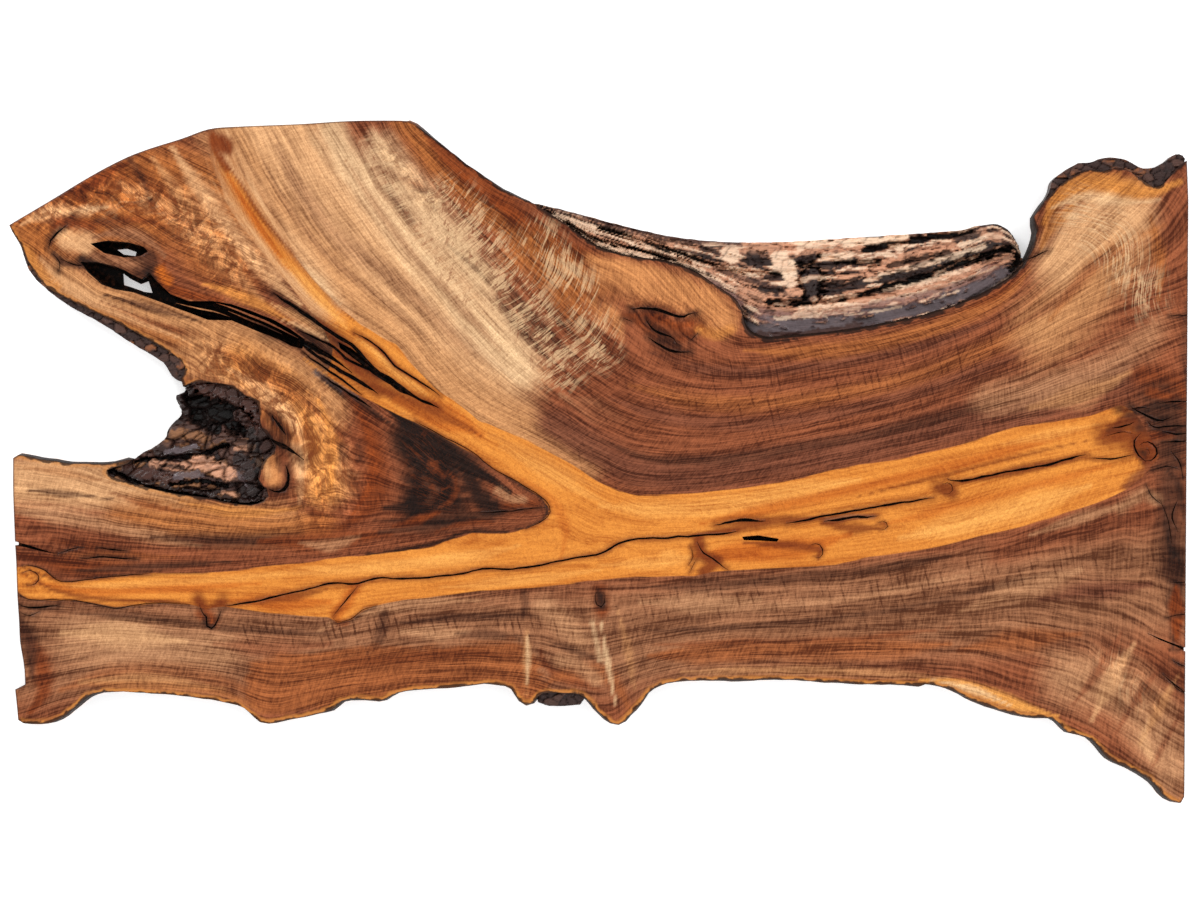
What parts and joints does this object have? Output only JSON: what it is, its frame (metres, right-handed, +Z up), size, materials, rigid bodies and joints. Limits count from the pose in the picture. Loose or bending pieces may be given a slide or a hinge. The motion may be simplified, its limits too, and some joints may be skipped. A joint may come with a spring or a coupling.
{
  "type": "live edge walnut slab",
  "caption": "Flat live-edge walnut slab with a crotch, a forked left end, natural voids and cracks, and bark left along parts of its edges.",
  "frame": {"origin": "centre of the underside of the slab's box, at the height of the surface it lies on", "axes": "+X along the slab's length towards its wide sawn end, +Y across it towards the edge with the long bark saddle, +Z up out of the sanded face"},
  "size_m": [1.8, 1.0492, 0.05],
  "materials": {
    "wood": "oiled, satin",
    "bark": "rough, dark"
  },
  "bodies": {
    "root": {"walnut_slab": "wood", "saddle_bark": "bark", "lobe_bark": "bark", "pocket_bark": "bark", "tongue_bark": "bark", "spur_bark": "bark"}
  },
  "joints": []
}
